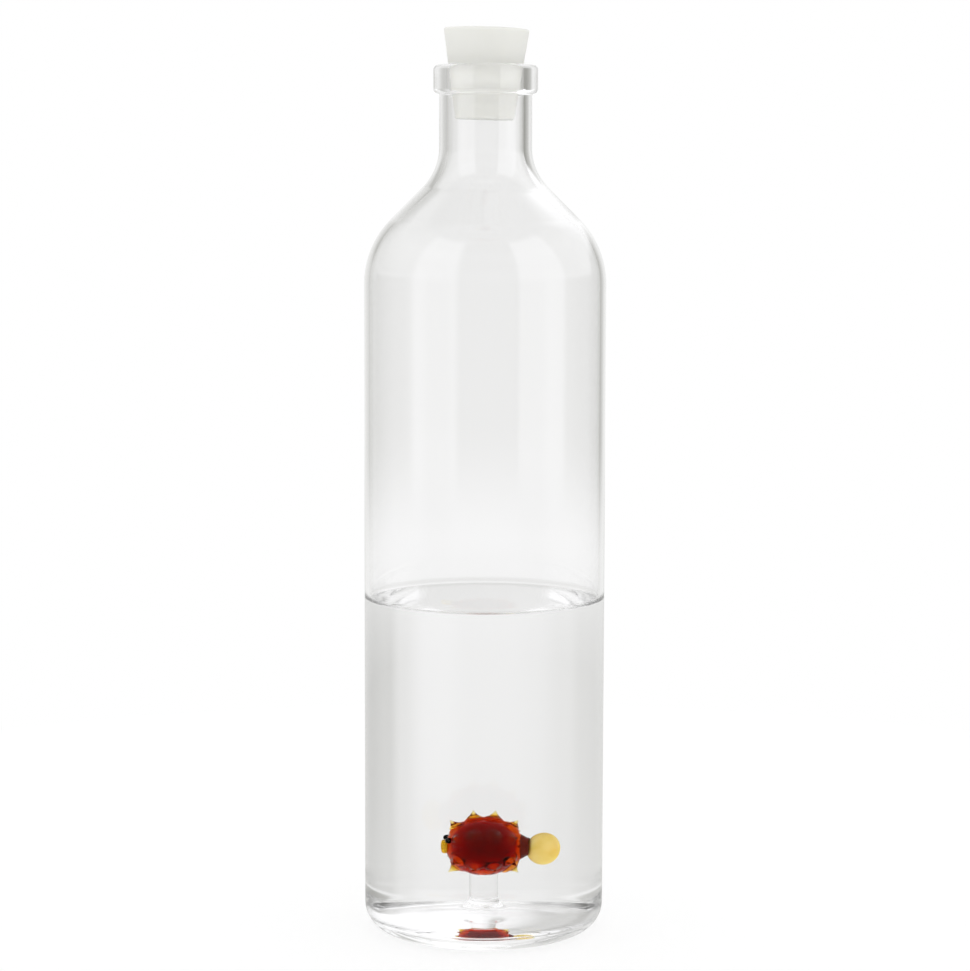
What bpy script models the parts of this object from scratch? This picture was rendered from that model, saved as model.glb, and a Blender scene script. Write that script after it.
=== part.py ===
"""A tall stoppered water bottle of clear blown glass, with a glass pufferfish on a post inside.

The bottle stands on the ground plane with its axis on Z and its origin at the middle of its base.
The fish looks towards -X and its tail fin points towards +X. Units are metres.
"""

import math

import bpy
from mathutils import Matrix, Vector

MM = 0.001

# Bottle: body, shoulder and neck
BODY_RADIUS = 40.0 * MM
BODY_WALL = 2.0 * MM
BODY_HEIGHT = 216.8 * MM          # where the straight wall turns into the shoulder
SHOULDER_ROUND = 30.0 * MM        # outer radius of the turn from wall to slope
SHOULDER_ANGLE = math.radians(45)
NECK_RADIUS = 15.3 * MM
NECK_BLEND = 18.5 * MM            # outer radius of the hollow between slope and neck
BORE_RADIUS = 12.5 * MM
BORE_EDGE_ROUND = 0.8 * MM
NECK_HEIGHT = 26.7 * MM           # from the end of the hollow blend up to the lip's top
COLLAR_RADIUS = 17.2 * MM
COLLAR_HEIGHT = 9.4 * MM
COLLAR_ROUND = 1.5 * MM

# Bottle: floor
FLOOR_HEIGHT = 9.5 * MM           # middle of the floor's upper face, above the ground
FLOOR_RISE = 4.5 * MM             # the floor is pushed up in a dome: its middle above its edge
FLOOR_ROUND = 5.0 * MM            # inside corner between floor and wall
HEEL_ROUND = 9.0 * MM             # outside corner between base and wall
REST_RING_WIDTH = 3.0 * MM        # flat ring that the bottle stands on
PUNT_DEPTH = 5.0 * MM             # hollow under the dome, at its middle

# Stopper
STOPPER_TOP_RADIUS = 14.0 * MM
STOPPER_BOTTOM_RADIUS = 9.75 * MM
STOPPER_LENGTH = 29.5 * MM
STOPPER_CROWN = 0.7 * MM          # rise of the top face at its middle
STOPPER_TOP_ROUND = 0.6 * MM
STOPPER_BOTTOM_ROUND = 0.8 * MM
STOPPER_GAP = 0.3 * MM            # between the taper and the mouth, where the soft plug seals

# Fish: body and tail
FISH_RADIUS = 9.6 * MM
FISH_HEIGHT = 20.2 * MM           # centre of the ball above the middle of the bottle's floor
ROOT_JOIN_RADIUS = 5.1 * MM       # where the ball turns into the root of the tail
ROOT_END_RADIUS = 3.0 * MM
ROOT_LENGTH = 2.2 * MM            # how far the root stands out past the ball
ROOT_ROUND = 0.8 * MM
FIN_HALF_LENGTH = 4.4 * MM
FIN_HALF_HEIGHT = 5.45 * MM
FIN_HALF_THICKNESS = 2.4 * MM
FIN_SEAT = 1.2 * MM               # how far the fin reaches back over the root's end
FIN_DROP = 0.9 * MM               # the fin's middle below the ball's middle

# Fish: mouth, eyes and spines
MOUTH_RADIUS = 1.5 * MM
LIP_RADIUS = 0.85 * MM
LIP_STAND = 0.35 * MM             # middle of the lip's round above the ball's surface
EYE_RADIUS = 1.2 * MM
EYE_STAND = 0.2 * MM
EYE_TURN = math.radians(50)       # from the top of the head, round to each side
SPINE_BASE_RADIUS = 2.1 * MM
SPINE_TIP_RADIUS = 0.2 * MM
SPINE_HEIGHT = 2.7 * MM
SPINE_ROOT = 0.8 * MM             # part of the spine's blank that the seat cut takes away
SPINE_SPACING = 0.4 * MM          # least room between lips, eyes and spines on the ball
SPINES_AROUND = 6
SPINE_ROWS = ("tail", "rear", "fore", "face")

# Stem under the fish
STEM_RADIUS = 3.6 * MM
STEM_FOOT_ROUND = 3.5 * MM
STEM_FOOT_EDGE = 0.5 * MM         # height of the foot's rim

# Water
WATER_LEVEL = 102.5 * MM          # flat surface, above the middle of the bottle's floor
MENISCUS_ROUND = 2.0 * MM         # the water climbs the wall by this much

# Fits and modelling allowances
SEAT_GAP = 0.3 * MM               # between pieces of glass that are fused on the real bottle
WATER_GAP = 0.3 * MM              # between the water and what it wets
CUT_OVERRUN = 1.0 * MM
MERGE_DISTANCE = 0.001 * MM

# Facets
BOTTLE_STEPS = 52
STOPPER_STEPS = 32
FISH_STEPS = 24
BALL_STEPS = 12
STEM_STEPS = 24
SPINE_STEPS = 6
SPINE_RINGS = 3
FIN_SEGMENTS = 20
EYE_SEGMENTS = 10
LIP_SEGMENTS = 8
MOUTH_SEGMENTS = 14
ARC_STEPS = 4
EDGE_STEPS = 3

# Heights worked out from the sizes above
SLOPE_RUN = BODY_RADIUS - NECK_RADIUS - (SHOULDER_ROUND + NECK_BLEND) * (1 - math.cos(SHOULDER_ANGLE))
SLOPE_TOP = BODY_HEIGHT + SHOULDER_ROUND * math.sin(SHOULDER_ANGLE) + SLOPE_RUN * math.tan(SHOULDER_ANGLE)
NECK_BASE = SLOPE_TOP + NECK_BLEND * math.sin(SHOULDER_ANGLE)
LIP_HEIGHT = NECK_BASE + NECK_HEIGHT
FISH_CENTRE = Vector((0, 0, FLOOR_HEIGHT + FISH_HEIGHT))
INNER_RADIUS = BODY_RADIUS - BODY_WALL

# The floor's dome is part of a sphere that runs smoothly into the corner round
CORNER_CENTRE = (INNER_RADIUS - FLOOR_ROUND, FLOOR_HEIGHT - FLOOR_RISE + FLOOR_ROUND)
CORNER_LIFT = FLOOR_ROUND - FLOOR_RISE
DOME_RADIUS = (CORNER_CENTRE[0] ** 2 + CORNER_LIFT ** 2 - FLOOR_ROUND ** 2) / (2 * FLOOR_RISE)
DOME_CENTRE = FLOOR_HEIGHT - DOME_RADIUS
DOME_TURN = math.asin(CORNER_CENTRE[0] / (DOME_RADIUS + FLOOR_ROUND))


def clear_scene():
    """Removes whatever the open file holds, so that only the bottle is left."""
    for thing in list(bpy.data.objects):
        bpy.data.objects.remove(thing, do_unlink=True)
    for group in list(bpy.data.collections):
        bpy.data.collections.remove(group)


def new_collection(name):
    group = bpy.data.collections.new(name)
    bpy.context.scene.collection.children.link(group)
    return group


def principled(name, colour, roughness, transmission=0.0, ior=1.5):
    """A plain material: colour in linear RGB, no metal, clear where transmission is 1."""
    material = bpy.data.materials.new(name)
    material.use_nodes = True
    shader = material.node_tree.nodes["Principled BSDF"]
    shader.inputs["Base Color"].default_value = (*colour, 1)
    shader.inputs["Roughness"].default_value = roughness
    shader.inputs["Metallic"].default_value = 0.0
    shader.inputs["Transmission Weight"].default_value = transmission
    shader.inputs["IOR"].default_value = ior
    material.diffuse_color = (*colour, 1 - 0.7 * transmission)
    return material


def add_object(name, mesh, group, material=None, place=None, parent=None):
    piece = bpy.data.objects.new(name, mesh)
    group.objects.link(piece)
    if material:
        mesh.materials.append(material)
    if parent:
        piece.parent = parent
    if place:
        piece.matrix_local = place
    return piece


def arc(centre, radius, start, end, steps=ARC_STEPS):
    """Points (r, z) on a round, from start to end in radians, counted from the +r side."""
    turn = (end - start) / steps
    return [
        (centre[0] + radius * math.cos(start + i * turn), centre[1] + radius * math.sin(start + i * turn))
        for i in range(steps + 1)
    ]


def turned(name, outline, steps, group, **where):
    """Turns an outline of (r, z) points about Z. Its outer side runs from the top down."""
    mesh = bpy.data.meshes.new(name)
    edges = [(i, i + 1) for i in range(len(outline) - 1)]
    mesh.from_pydata([(r, 0, z) for r, z in outline], edges, [])
    piece = add_object(name, mesh, group, **where)
    screw = piece.modifiers.new("turn", "SCREW")
    screw.axis = "Z"
    screw.angle = math.tau
    screw.steps = steps
    screw.render_steps = steps
    screw.use_merge_vertices = True
    screw.merge_threshold = MERGE_DISTANCE
    screw.use_smooth_shade = True
    return piece


def make_cutter(piece):
    """Marks an object as a guide that only cuts others."""
    piece.hide_render = True
    piece.display_type = "WIRE"
    return piece


def cut_by(piece, cutter):
    cut = piece.modifiers.new("cut by " + cutter.name, "BOOLEAN")
    cut.operation = "DIFFERENCE"
    cut.solver = "EXACT"
    cut.object = cutter


def floor_outline(lift=0.0):
    """The floor's dome and its corner round, from the middle out, raised off the glass by lift."""
    quarter = math.pi / 2
    dome = arc((0, DOME_CENTRE), DOME_RADIUS + lift, quarter, quarter - DOME_TURN, EDGE_STEPS)
    dome[0] = (0, FLOOR_HEIGHT + lift)
    return dome + arc(CORNER_CENTRE, FLOOR_ROUND - lift, -quarter - DOME_TURN, 0)[1:]


def dome_height(radius, lift):
    """Height of the domed floor at a radius, raised by lift."""
    return DOME_CENTRE + math.sqrt((DOME_RADIUS + lift) ** 2 - radius ** 2)


def bottle_outline():
    """The glass from the middle of its floor, up inside, over the lip, down outside and under."""
    quarter = math.pi / 2
    slope = SHOULDER_ANGLE
    shoulder_centre = (BODY_RADIUS - SHOULDER_ROUND, BODY_HEIGHT)
    blend_centre = (NECK_RADIUS + NECK_BLEND, NECK_BASE)
    neck_wall = NECK_RADIUS - BORE_RADIUS

    inside = floor_outline()
    inside += arc(shoulder_centre, SHOULDER_ROUND - BODY_WALL, 0, slope)
    inside += arc(blend_centre, NECK_BLEND + neck_wall, math.pi + slope, math.pi)
    inside += arc((BORE_RADIUS + BORE_EDGE_ROUND, LIP_HEIGHT - BORE_EDGE_ROUND), BORE_EDGE_ROUND,
                  math.pi, quarter, EDGE_STEPS)

    collar_top = (COLLAR_RADIUS - COLLAR_ROUND, LIP_HEIGHT - COLLAR_ROUND)
    collar_bottom = (COLLAR_RADIUS - COLLAR_ROUND, LIP_HEIGHT - COLLAR_HEIGHT + COLLAR_ROUND)
    outside = arc(collar_top, COLLAR_ROUND, quarter, 0, EDGE_STEPS)
    outside += arc(collar_bottom, COLLAR_ROUND, 0, -quarter, EDGE_STEPS)
    outside += [(NECK_RADIUS, LIP_HEIGHT - COLLAR_HEIGHT)]
    outside += arc(blend_centre, NECK_BLEND, math.pi, math.pi + slope)
    outside += arc(shoulder_centre, SHOULDER_ROUND, slope, 0)
    outside += arc((BODY_RADIUS - HEEL_ROUND, HEEL_ROUND), HEEL_ROUND, 0, -quarter)

    ring_inner = BODY_RADIUS - HEEL_ROUND - REST_RING_WIDTH
    punt_radius = (ring_inner ** 2 + PUNT_DEPTH ** 2) / (2 * PUNT_DEPTH)
    punt_turn = math.asin(ring_inner / punt_radius)
    under = arc((0, PUNT_DEPTH - punt_radius), punt_radius, quarter - punt_turn, quarter)
    under[-1] = (0, PUNT_DEPTH)
    return inside + outside + under


def stopper_outline():
    """The plug about its own axis, from the middle of its crowned top down to its bottom face."""
    lean = math.atan2(STOPPER_TOP_RADIUS - STOPPER_BOTTOM_RADIUS, STOPPER_LENGTH)
    crown_radius = (STOPPER_TOP_RADIUS ** 2 + STOPPER_CROWN ** 2) / (2 * STOPPER_CROWN)
    crown_centre = STOPPER_LENGTH + STOPPER_CROWN - crown_radius
    crown_edge = math.asin((STOPPER_TOP_RADIUS - STOPPER_TOP_ROUND) / crown_radius)
    top = arc((0, crown_centre), crown_radius, math.pi / 2, math.pi / 2 - crown_edge, EDGE_STEPS)
    corner = (STOPPER_TOP_RADIUS - STOPPER_TOP_ROUND, STOPPER_LENGTH - STOPPER_TOP_ROUND)
    edge = arc(corner, STOPPER_TOP_ROUND, math.pi / 2 - crown_edge, -lean, EDGE_STEPS)
    foot = (STOPPER_BOTTOM_RADIUS - STOPPER_BOTTOM_ROUND * math.cos(lean), STOPPER_BOTTOM_ROUND)
    base = arc(foot, STOPPER_BOTTOM_ROUND, -lean, -math.pi / 2, EDGE_STEPS)
    top[0] = (0, STOPPER_LENGTH + STOPPER_CROWN)
    return top + edge + base + [(0, 0)]


def stopper_seat():
    """Height of the plug's bottom when its taper meets the mouth with the sealing gap left."""
    slope = (STOPPER_TOP_RADIUS - STOPPER_BOTTOM_RADIUS) / STOPPER_LENGTH
    depth = (BORE_RADIUS - STOPPER_GAP - STOPPER_BOTTOM_RADIUS) / slope
    return LIP_HEIGHT - BORE_EDGE_ROUND - depth


def fish_outline(grow=0.0):
    """The ball and the root of its tail about Z, tail up, enlarged all round by grow."""
    join = math.asin(ROOT_JOIN_RADIUS / FISH_RADIUS)
    ball = FISH_RADIUS + grow
    end = FISH_RADIUS + ROOT_LENGTH + grow
    root = ROOT_END_RADIUS + grow
    tail = [(0, end)]
    tail += arc((root - ROOT_ROUND, end - ROOT_ROUND), ROOT_ROUND, math.pi / 2, 0, EDGE_STEPS)
    around = arc((0, 0), ball, math.pi / 2 - join, -math.pi / 2, BALL_STEPS)
    around[-1] = (0, -ball)
    return tail + around


def stem_outline(grow=0.0):
    """The post about Z: a straight rod with a flared foot. Its top is left for the seat cut."""
    ball_underside = FISH_CENTRE.z - math.sqrt(FISH_RADIUS ** 2 - STEM_RADIUS ** 2)
    top = ball_underside + CUT_OVERRUN
    rod = [(0, top), (STEM_RADIUS + grow, top)]
    reach = STEM_RADIUS + STEM_FOOT_ROUND
    rim = dome_height(reach, SEAT_GAP) + STEM_FOOT_EDGE
    flare = arc((reach, rim + STEM_FOOT_ROUND), STEM_FOOT_ROUND - grow, math.pi, math.pi * 1.5)
    reach += grow
    sole = SEAT_GAP - 2 * grow
    edge = [(reach, dome_height(reach, sole)), (0, FLOOR_HEIGHT + sole)]
    if grow:
        edge.insert(0, (reach, rim + grow))  # top of the enlarged rim
    return rod + flare + edge


def spine_outline(grow=0.0):
    """One spine about Z, from its tip down to its sunken root, with hollow flanks."""
    base = SPINE_BASE_RADIUS + grow
    tip = SPINE_TIP_RADIUS + grow
    height = SPINE_HEIGHT + grow
    flank = []
    for ring in range(SPINE_RINGS + 1):
        share = ring / SPINE_RINGS
        flank.append((tip + (base - tip) * share ** 2, height * (1 - share)))
    return [(0, height)] + flank + [(base, -SPINE_ROOT), (0, -SPINE_ROOT)]


def direction(polar, turn):
    """Unit vector from the ball's centre: polar from the tail's axis, turn from the top."""
    return Vector((math.cos(polar), -math.sin(polar) * math.sin(turn), math.sin(polar) * math.cos(turn)))


def on_ball(polar, turn, stand=0.0):
    """Place on the ball's surface, raised by stand, with Z pointing straight out."""
    out = direction(polar, turn)
    turned_z = Vector((0, 0, 1)).rotation_difference(out).to_matrix().to_4x4()
    return Matrix.Translation(out * (FISH_RADIUS + stand)) @ turned_z


def eye_polar():
    """The eyes lie just behind the lips."""
    reach = MOUTH_RADIUS + LIP_RADIUS + SPINE_SPACING + EYE_RADIUS
    return math.pi - reach / FISH_RADIUS


def spine_polars():
    """Rows of spines, evenly spread from the root of the tail to just behind the eyes."""
    first = math.asin(ROOT_JOIN_RADIUS / FISH_RADIUS) + SPINE_BASE_RADIUS / FISH_RADIUS
    last = eye_polar() - (EYE_RADIUS + SPINE_SPACING + SPINE_BASE_RADIUS) / FISH_RADIUS
    step = (last - first) / (len(SPINE_ROWS) - 1)
    return [first + row * step for row in range(len(SPINE_ROWS))]


def spine_places():
    """Names and places of the spines. The ones that would stand on the stem are left out."""
    keep_out = STEM_RADIUS + SPINE_BASE_RADIUS + SPINE_SPACING / 2
    for row, polar in zip(SPINE_ROWS, spine_polars()):
        for count in range(SPINES_AROUND):
            turn = math.tau * count / SPINES_AROUND
            spot = direction(polar, turn) * FISH_RADIUS
            if spot.z < 0 and math.hypot(spot.x, spot.y) < keep_out:
                continue
            yield f"spine_{row}_{count + 1}", on_ball(polar, turn)


def ball_mesh(name, size, segments):
    """A unit sphere primitive scaled to the given half sizes, with the scale in the mesh."""
    bpy.ops.mesh.primitive_uv_sphere_add(segments=segments, ring_count=segments // 2, radius=1)
    sphere = bpy.context.object
    mesh = sphere.data
    mesh.name = name
    mesh.transform(Matrix.Diagonal((*size, 1)))
    mesh.shade_smooth()
    bpy.data.objects.remove(sphere)
    return mesh


def fin_mesh(name, grow=0.0):
    size = (FIN_HALF_LENGTH + grow, FIN_HALF_THICKNESS + grow, FIN_HALF_HEIGHT + grow)
    return ball_mesh(name, size, FIN_SEGMENTS)


def eye_mesh(name, grow=0.0):
    radius = EYE_RADIUS + grow
    return ball_mesh(name, (radius, radius, radius), EYE_SEGMENTS)


def mouth_mesh(name, grow=0.0):
    """A ring primitive about Z."""
    bpy.ops.mesh.primitive_torus_add(
        major_radius=MOUTH_RADIUS, minor_radius=LIP_RADIUS + grow,
        major_segments=MOUTH_SEGMENTS, minor_segments=LIP_SEGMENTS
    )
    ring = bpy.context.object
    mesh = ring.data
    mesh.name = name
    mesh.shade_smooth()
    bpy.data.objects.remove(ring)
    return mesh


def mouth_place():
    """The lips lie on the ball's nose, their round standing a little proud of its surface."""
    reach = math.sqrt((FISH_RADIUS + LIP_STAND) ** 2 - MOUTH_RADIUS ** 2)
    return Matrix.Translation((-reach, 0, 0)) @ Matrix.Rotation(-math.pi / 2, 4, "Y")


def fin_place():
    root_end = FISH_RADIUS + ROOT_LENGTH
    return Matrix.Translation((root_end - FIN_SEAT + FIN_HALF_LENGTH, 0, -FIN_DROP))


def tail_to_x():
    """Turns a shape made about Z so that its top points along +X."""
    return Matrix.Rotation(math.pi / 2, 4, "Y")


def make_fish(group, cutters, glass, centre):
    """The fish: each piece is seated on the ball by a cut with an enlarged copy of the ball."""
    seat = make_cutter(turned("fish_seat_cutter", fish_outline(SEAT_GAP), FISH_STEPS, cutters,
                              place=tail_to_x(), parent=centre))
    turned("fish_body", fish_outline(), FISH_STEPS, group, material=glass["red"],
           place=tail_to_x(), parent=centre)
    seated = [
        add_object("fish_tail_fin", fin_mesh("fish_tail_fin"), group, glass["ivory"], fin_place(), centre),
        add_object("fish_mouth", mouth_mesh("fish_mouth"), group, glass["amber"], mouth_place(), centre),
    ]
    for side, turn in (("left", -EYE_TURN), ("right", EYE_TURN)):
        name = f"fish_{side}_eye"
        place = on_ball(eye_polar(), turn, EYE_STAND)
        seated.append(add_object(name, eye_mesh(name), group, glass["black"], place, centre))
    for name, place in spine_places():
        seated.append(turned(name, spine_outline(), SPINE_STEPS, group, material=glass["amber"],
                             place=place, parent=centre))
    for piece in seated:
        cut_by(piece, seat)
    stem = turned("figurine_stem", stem_outline(), STEM_STEPS, group, material=glass["clear"])
    cut_by(stem, seat)


def make_fish_hollow(hollow, centre):
    """Enlarged copies of the fish and its stem, which cut the water."""
    gap = WATER_GAP
    turned("hollow_fish_body", fish_outline(gap), FISH_STEPS, hollow, place=tail_to_x(), parent=centre)
    add_object("hollow_fin", fin_mesh("hollow_fin", gap), hollow, None, fin_place(), centre)
    add_object("hollow_mouth", mouth_mesh("hollow_mouth", gap), hollow, None, mouth_place(), centre)
    for side, turn in (("left", -EYE_TURN), ("right", EYE_TURN)):
        name = f"hollow_{side}_eye"
        add_object(name, eye_mesh(name, gap), hollow, None, on_ball(eye_polar(), turn, EYE_STAND), centre)
    for name, place in spine_places():
        turned("hollow_" + name, spine_outline(gap), SPINE_STEPS, hollow, place=place, parent=centre)
    turned("hollow_stem", stem_outline(gap), STEM_STEPS, hollow)
    for piece in hollow.objects:
        make_cutter(piece)


def make_water(group, hollow, material):
    """The water: it follows the domed floor, climbs the wall at its edge, and wets the fish."""
    radius = INNER_RADIUS - WATER_GAP
    top = FLOOR_HEIGHT + WATER_LEVEL
    climb = (radius - MENISCUS_ROUND, top + MENISCUS_ROUND)
    outline = [(0, top)]
    outline += arc(climb, MENISCUS_ROUND, -math.pi / 2, 0, EDGE_STEPS)
    outline += floor_outline(WATER_GAP)[::-1]
    water = turned("water", outline, BOTTLE_STEPS, group, material=material)
    cut = water.modifiers.new("fish and stem", "BOOLEAN")
    cut.operation = "DIFFERENCE"
    cut.solver = "EXACT"
    cut.operand_type = "COLLECTION"
    cut.collection = hollow


def main():
    clear_scene()
    bottle = new_collection("stoppered_bottle")
    cutters = new_collection("cutters")
    hollow = new_collection("water_cutters")
    glass = {
        "clear": principled("clear_glass", (0.95, 0.97, 0.96), 0.02, 1.0, 1.47),
        "red": principled("red_glass", (0.28, 0.01, 0.01), 0.05, 0.6),
        "amber": principled("amber_glass", (0.8, 0.28, 0.02), 0.05, 0.6),
        "ivory": principled("ivory_glass", (0.75, 0.6, 0.25), 0.12, 0.1),
        "black": principled("black_glass", (0.01, 0.008, 0.008), 0.05),
    }
    silicone = principled("white_silicone", (0.78, 0.78, 0.75), 0.45)
    water = principled("water", (0.97, 0.98, 0.98), 0.0, 1.0, 1.333)

    centre = bpy.data.objects.new("fish_centre", None)
    centre.location = FISH_CENTRE
    bottle.objects.link(centre)

    turned("bottle_glass", bottle_outline(), BOTTLE_STEPS, bottle, material=glass["clear"])
    turned("stopper", stopper_outline(), STOPPER_STEPS, bottle, material=silicone,
           place=Matrix.Translation((0, 0, stopper_seat())))
    make_fish(bottle, cutters, glass, centre)
    make_fish_hollow(hollow, centre)
    make_water(bottle, hollow, water)


main()
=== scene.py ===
# %% [markdown]
# A tall bottle of clear blown glass, part filled with water, with a soft plug in its mouth and a small glass
# pufferfish on a post inside. The solid model of it is already built and gives every size and place. This
# script dresses that model: it makes the glass, the water, the plug and the fish as fine surfaces, and gives
# each its finish. Almost everything here is clear, so the lesson is mostly about what light does at the
# borders between air, glass and water.

# %% Load the solid model
import math
import random

import bmesh
import bpy
from mathutils import Matrix, Vector


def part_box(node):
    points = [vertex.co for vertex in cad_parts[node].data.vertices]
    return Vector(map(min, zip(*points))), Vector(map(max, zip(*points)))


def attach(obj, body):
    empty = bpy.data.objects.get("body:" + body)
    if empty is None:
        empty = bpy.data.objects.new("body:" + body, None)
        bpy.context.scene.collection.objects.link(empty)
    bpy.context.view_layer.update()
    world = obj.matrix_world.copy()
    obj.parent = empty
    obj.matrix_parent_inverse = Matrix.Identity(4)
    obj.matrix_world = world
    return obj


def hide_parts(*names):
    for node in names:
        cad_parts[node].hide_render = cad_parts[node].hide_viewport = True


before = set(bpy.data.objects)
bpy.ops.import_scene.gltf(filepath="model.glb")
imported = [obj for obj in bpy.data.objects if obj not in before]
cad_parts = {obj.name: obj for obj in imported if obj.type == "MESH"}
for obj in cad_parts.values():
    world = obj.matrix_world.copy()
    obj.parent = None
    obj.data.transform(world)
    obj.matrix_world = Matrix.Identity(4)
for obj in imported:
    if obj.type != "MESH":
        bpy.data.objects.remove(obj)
scene = bpy.context.scene
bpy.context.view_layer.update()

# %% [markdown]
# Sizes are kept in metres, written as millimetres times MM. What the solid model's boxes can tell is read
# from them, so that the fine surfaces sit exactly where the solids are. The rest are the glassblower's own
# measures, such as the wall and its rounds, and stand where they are first used.

# %% Sizes read from the solid model
MM = 0.001


def box(node):
    """Lowest and highest corners of a node, as vectors."""
    low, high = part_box(node)
    return Vector(low), Vector(high)


bottle_high = box("bottle_glass")[1]
water_high = box("water")[1]
plug_low, plug_high = box("stopper")
ball_low, ball_high = box("fish_body")
fin_low, fin_high = box("fish_tail_fin")

BODY_RADIUS = bottle_high.x
LIP_HEIGHT = bottle_high.z
CONTACT_HEIGHT = water_high.z
BALL_RADIUS = (ball_high.y - ball_low.y) / 2
BALL_CENTRE = Vector((0, 0, (ball_low.z + ball_high.z) / 2))
print("lip at", round(LIP_HEIGHT / MM, 2), "mm, water meets the wall at", round(CONTACT_HEIGHT / MM, 2), "mm")

# %% [markdown]
# A few helpers serve every material. Colours are written as sRGB hex values, as a colour picker shows them,
# and turned into the linear values that shaders add and multiply. Another helper adds one node, sets it up
# and links it in a single call, so that a material reads as a short list, and the last one starts an empty
# material.

# %% Colours and nodes
def linear(hex_colour):
    """An sRGB hex colour as linear red, green, blue and alpha, by the sRGB standard's own curve."""
    channels = [int(hex_colour[place:place + 2], 16) / 255 for place in (0, 2, 4)]
    return tuple(c / 12.92 if c <= 0.04045 else ((c + 0.055) / 1.055) ** 2.4 for c in channels) + (1.0,)


def add_node(tree, kind, inputs=None, **settings):
    """Adds a node. Its inputs are given values, or another node's output to link."""
    node = tree.nodes.new(kind)
    for name, value in settings.items():
        setattr(node, name, value)
    for name, value in (inputs or {}).items():
        if isinstance(value, bpy.types.NodeSocket):
            tree.links.new(value, node.inputs[name])
        else:
            node.inputs[name].default_value = value
    return node


def new_material(name):
    """An empty material: its node tree and its output node come with it."""
    material = bpy.data.materials.new(name)
    material.use_nodes = True
    material.node_tree.nodes.clear()
    output = add_node(material.node_tree, "ShaderNodeOutputMaterial")
    return material, material.node_tree, output


# %% [markdown]
# The camera stands about 0.95 m away and a little above the bottle's middle, looking slightly down: the far
# and near edges of the water show how far down, and the base and the lip show how far away. The lens was
# found in pixels, from how large the bottle is in the photograph, and is turned into millimetres here.

# %% Camera
CAMERA_DISTANCE = 951 * MM
CAMERA_HEIGHT = 256 * MM
CAMERA_SIDE = 0.1 * MM
CAMERA_TILT = math.radians(6.38)
CAMERA_ROLL = math.radians(0.15)
SENSOR = 36.0                     # the larger side in millimetres, which is the image's height
FOCAL_PIXELS = 2875
IMAGE_HEIGHT = 971                # in pixels
NEAREST_SEEN = 10 * MM

camera_data = bpy.data.cameras.new("camera")
camera_data.sensor_width = SENSOR
camera_data.lens = FOCAL_PIXELS / IMAGE_HEIGHT * SENSOR
camera_data.clip_start = NEAREST_SEEN
camera = bpy.data.objects.new("camera", camera_data)
camera.matrix_world = (
    Matrix.Translation((CAMERA_SIDE, -CAMERA_DISTANCE, CAMERA_HEIGHT))
    @ Matrix.Rotation(math.pi / 2 - CAMERA_TILT, 4, "X")
    @ Matrix.Rotation(CAMERA_ROLL, 4, "Z")
)
scene.collection.objects.link(camera)
bpy.context.scene.camera = camera
print("lens in mm:", round(camera_data.lens, 1))

# %% [markdown]
# Clear glass shows only what it bends and mirrors, so the studio round it is the real subject. The bottle
# stands on a white table before a white field. Grey cards to its sides are seen through the curved edges of
# the glass as soft dark lines, and two tall soft boxes in front are mirrored as pale upright bands. All of
# this is painted by direction on the world, once for what the glass lets through and once for what it
# mirrors: round the compass for the cards and boxes, and up and down for the table. Real cards and lamps
# would do as well, but a painted sky needs no guess at their places and gives no noise. The camera sees plain
# white, and so does the light on matt surfaces.

# %% Directions round the bottle
CARD_WARMTH = 1.06                # over 1, a darker card lacks more blue

world = bpy.data.worlds.new("studio")
scene.world = world
world.use_nodes = True
sky = world.node_tree
sky.nodes.clear()
heading = add_node(sky, "ShaderNodeTexCoord").outputs["Generated"]
parts = add_node(sky, "ShaderNodeSeparateXYZ", {"Vector": heading}).outputs
compass = add_node(sky, "ShaderNodeMath", {0: parts["X"], 1: parts["Y"]}, operation="ARCTAN2").outputs[0]
rise = add_node(sky, "ShaderNodeMath", {0: parts["Z"]}, operation="ARCSINE").outputs[0]
elevation = add_node(sky, "ShaderNodeMath", {0: rise}, operation="DEGREES").outputs[0]
# Both angles again as shares from 0 to 1, which is what a colour ramp reads.
round_share = add_node(
    sky, "ShaderNodeMath", {0: compass, 1: 1 / math.tau, 2: 0.5}, operation="MULTIPLY_ADD"
).outputs[0]
up_share = add_node(
    sky, "ShaderNodeMath", {0: rise, 1: 1 / math.pi, 2: 0.5}, operation="MULTIPLY_ADD"
).outputs[0]


# Each stop is an angle in degrees, then a grey or a share. Compass angles are counted from straight behind
# the bottle, positive to the right, and elevations from level, positive upwards.
def greys_by_angle(share, stops, first, last):
    """A grey for each angle, for a share that runs from 0 at the first angle to 1 at the last."""
    ramp = add_node(sky, "ShaderNodeValToRGB", {"Fac": share})
    elements = ramp.color_ramp.elements
    ramp.color_ramp.interpolation = "EASE"
    while len(elements) < len(stops):
        elements.new(0.5)  # anywhere, because each gets its own place below
    for element, (angle, level) in zip(elements, stops):
        element.position = (angle - first) / (last - first)
        element.color = (level, level, level ** CARD_WARMTH, 1)
    return ramp.outputs["Color"]


def ring(stops):
    """Greys round the compass."""
    return greys_by_angle(round_share, stops, -180, 180)


def column(stops):
    """Greys from straight down to straight up."""
    return greys_by_angle(up_share, stops, -90, 90)


# %% [markdown]
# Through the bottle's clear sides the eye sees what lies behind it. Towards its edges the glass bends the
# view far round, so what stands at the sides of the studio is squeezed into thin upright lines there. Grey
# cards make those lines dark, because clear glass would be lost before plain white. They end a little above
# level, so the sloping shoulder looks over them at the bright field. The white table shows in the lower part.

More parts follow.
